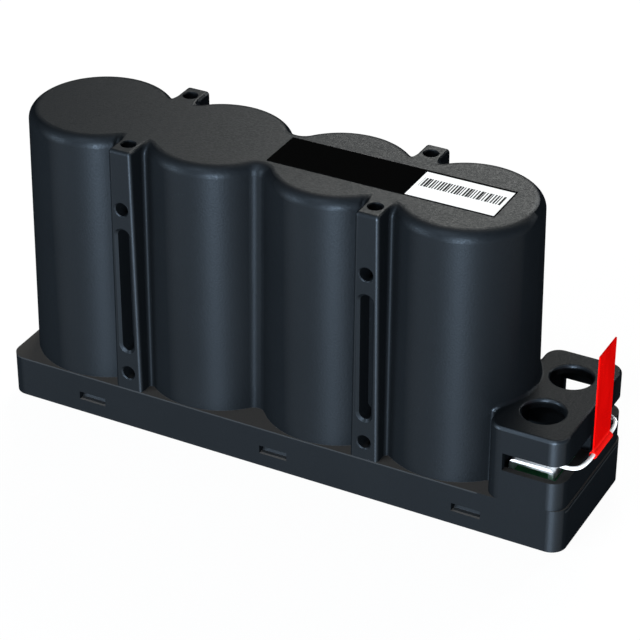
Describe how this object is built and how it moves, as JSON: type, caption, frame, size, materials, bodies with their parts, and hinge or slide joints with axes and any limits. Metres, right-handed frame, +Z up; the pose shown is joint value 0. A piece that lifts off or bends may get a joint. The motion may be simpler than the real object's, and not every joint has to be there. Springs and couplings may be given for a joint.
{
  "type": "supercapacitor module",
  "caption": "Energy storage module: upright can cells in a dark drafted moulding with a tray foot, mounting ribs and a terminal block under a hollow cap.",
  "frame": {"origin": "middle of the footprint of the tray, on the underside", "axes": "+X along the row of cells towards the terminal block, +Y towards the rear long side, +Z up"},
  "size_m": [0.1701, 0.042, 0.0856],
  "materials": {
    "housing_plastic": "fine spark texture",
    "cover_plastic": "fine spark texture",
    "can_aluminium": "drawn",
    "pad_foam": "cellular",
    "board_laminate": "solder mask",
    "resistor_body": "glazed",
    "chip_body": "moulded",
    "screw_steel": "bright zinc",
    "tinned_sheet": "bright tin",
    "wire_jacket": "extruded",
    "tinned_conductor": "tinned",
    "tag_vinyl": "calendered",
    "label_film": "satin"
  },
  "bodies": {
    "root": {"housing": "housing_plastic", "bottom_cover": "cover_plastic", "cell_1": "can_aluminium", "cell_2": "can_aluminium", "cell_3": "can_aluminium", "cell_4": "can_aluminium", "cell_pads": "pad_foam", "main_board": "board_laminate", "balance_resistors": "resistor_body", "balance_transistors": "chip_body", "balance_chips": "chip_body", "terminal_board": "board_laminate", "board_screws": "screw_steel", "link_front": "tinned_sheet", "link_rear": "tinned_sheet", "terminal_front": "tinned_sheet", "terminal_rear": "tinned_sheet", "terminal_screws": "screw_steel", "shorting_wire": "wire_jacket", "wire_end_front": "tinned_conductor", "wire_end_rear": "tinned_conductor", "pull_tag": "tag_vinyl", "rating_label": "label_film"}
  },
  "joints": []
}
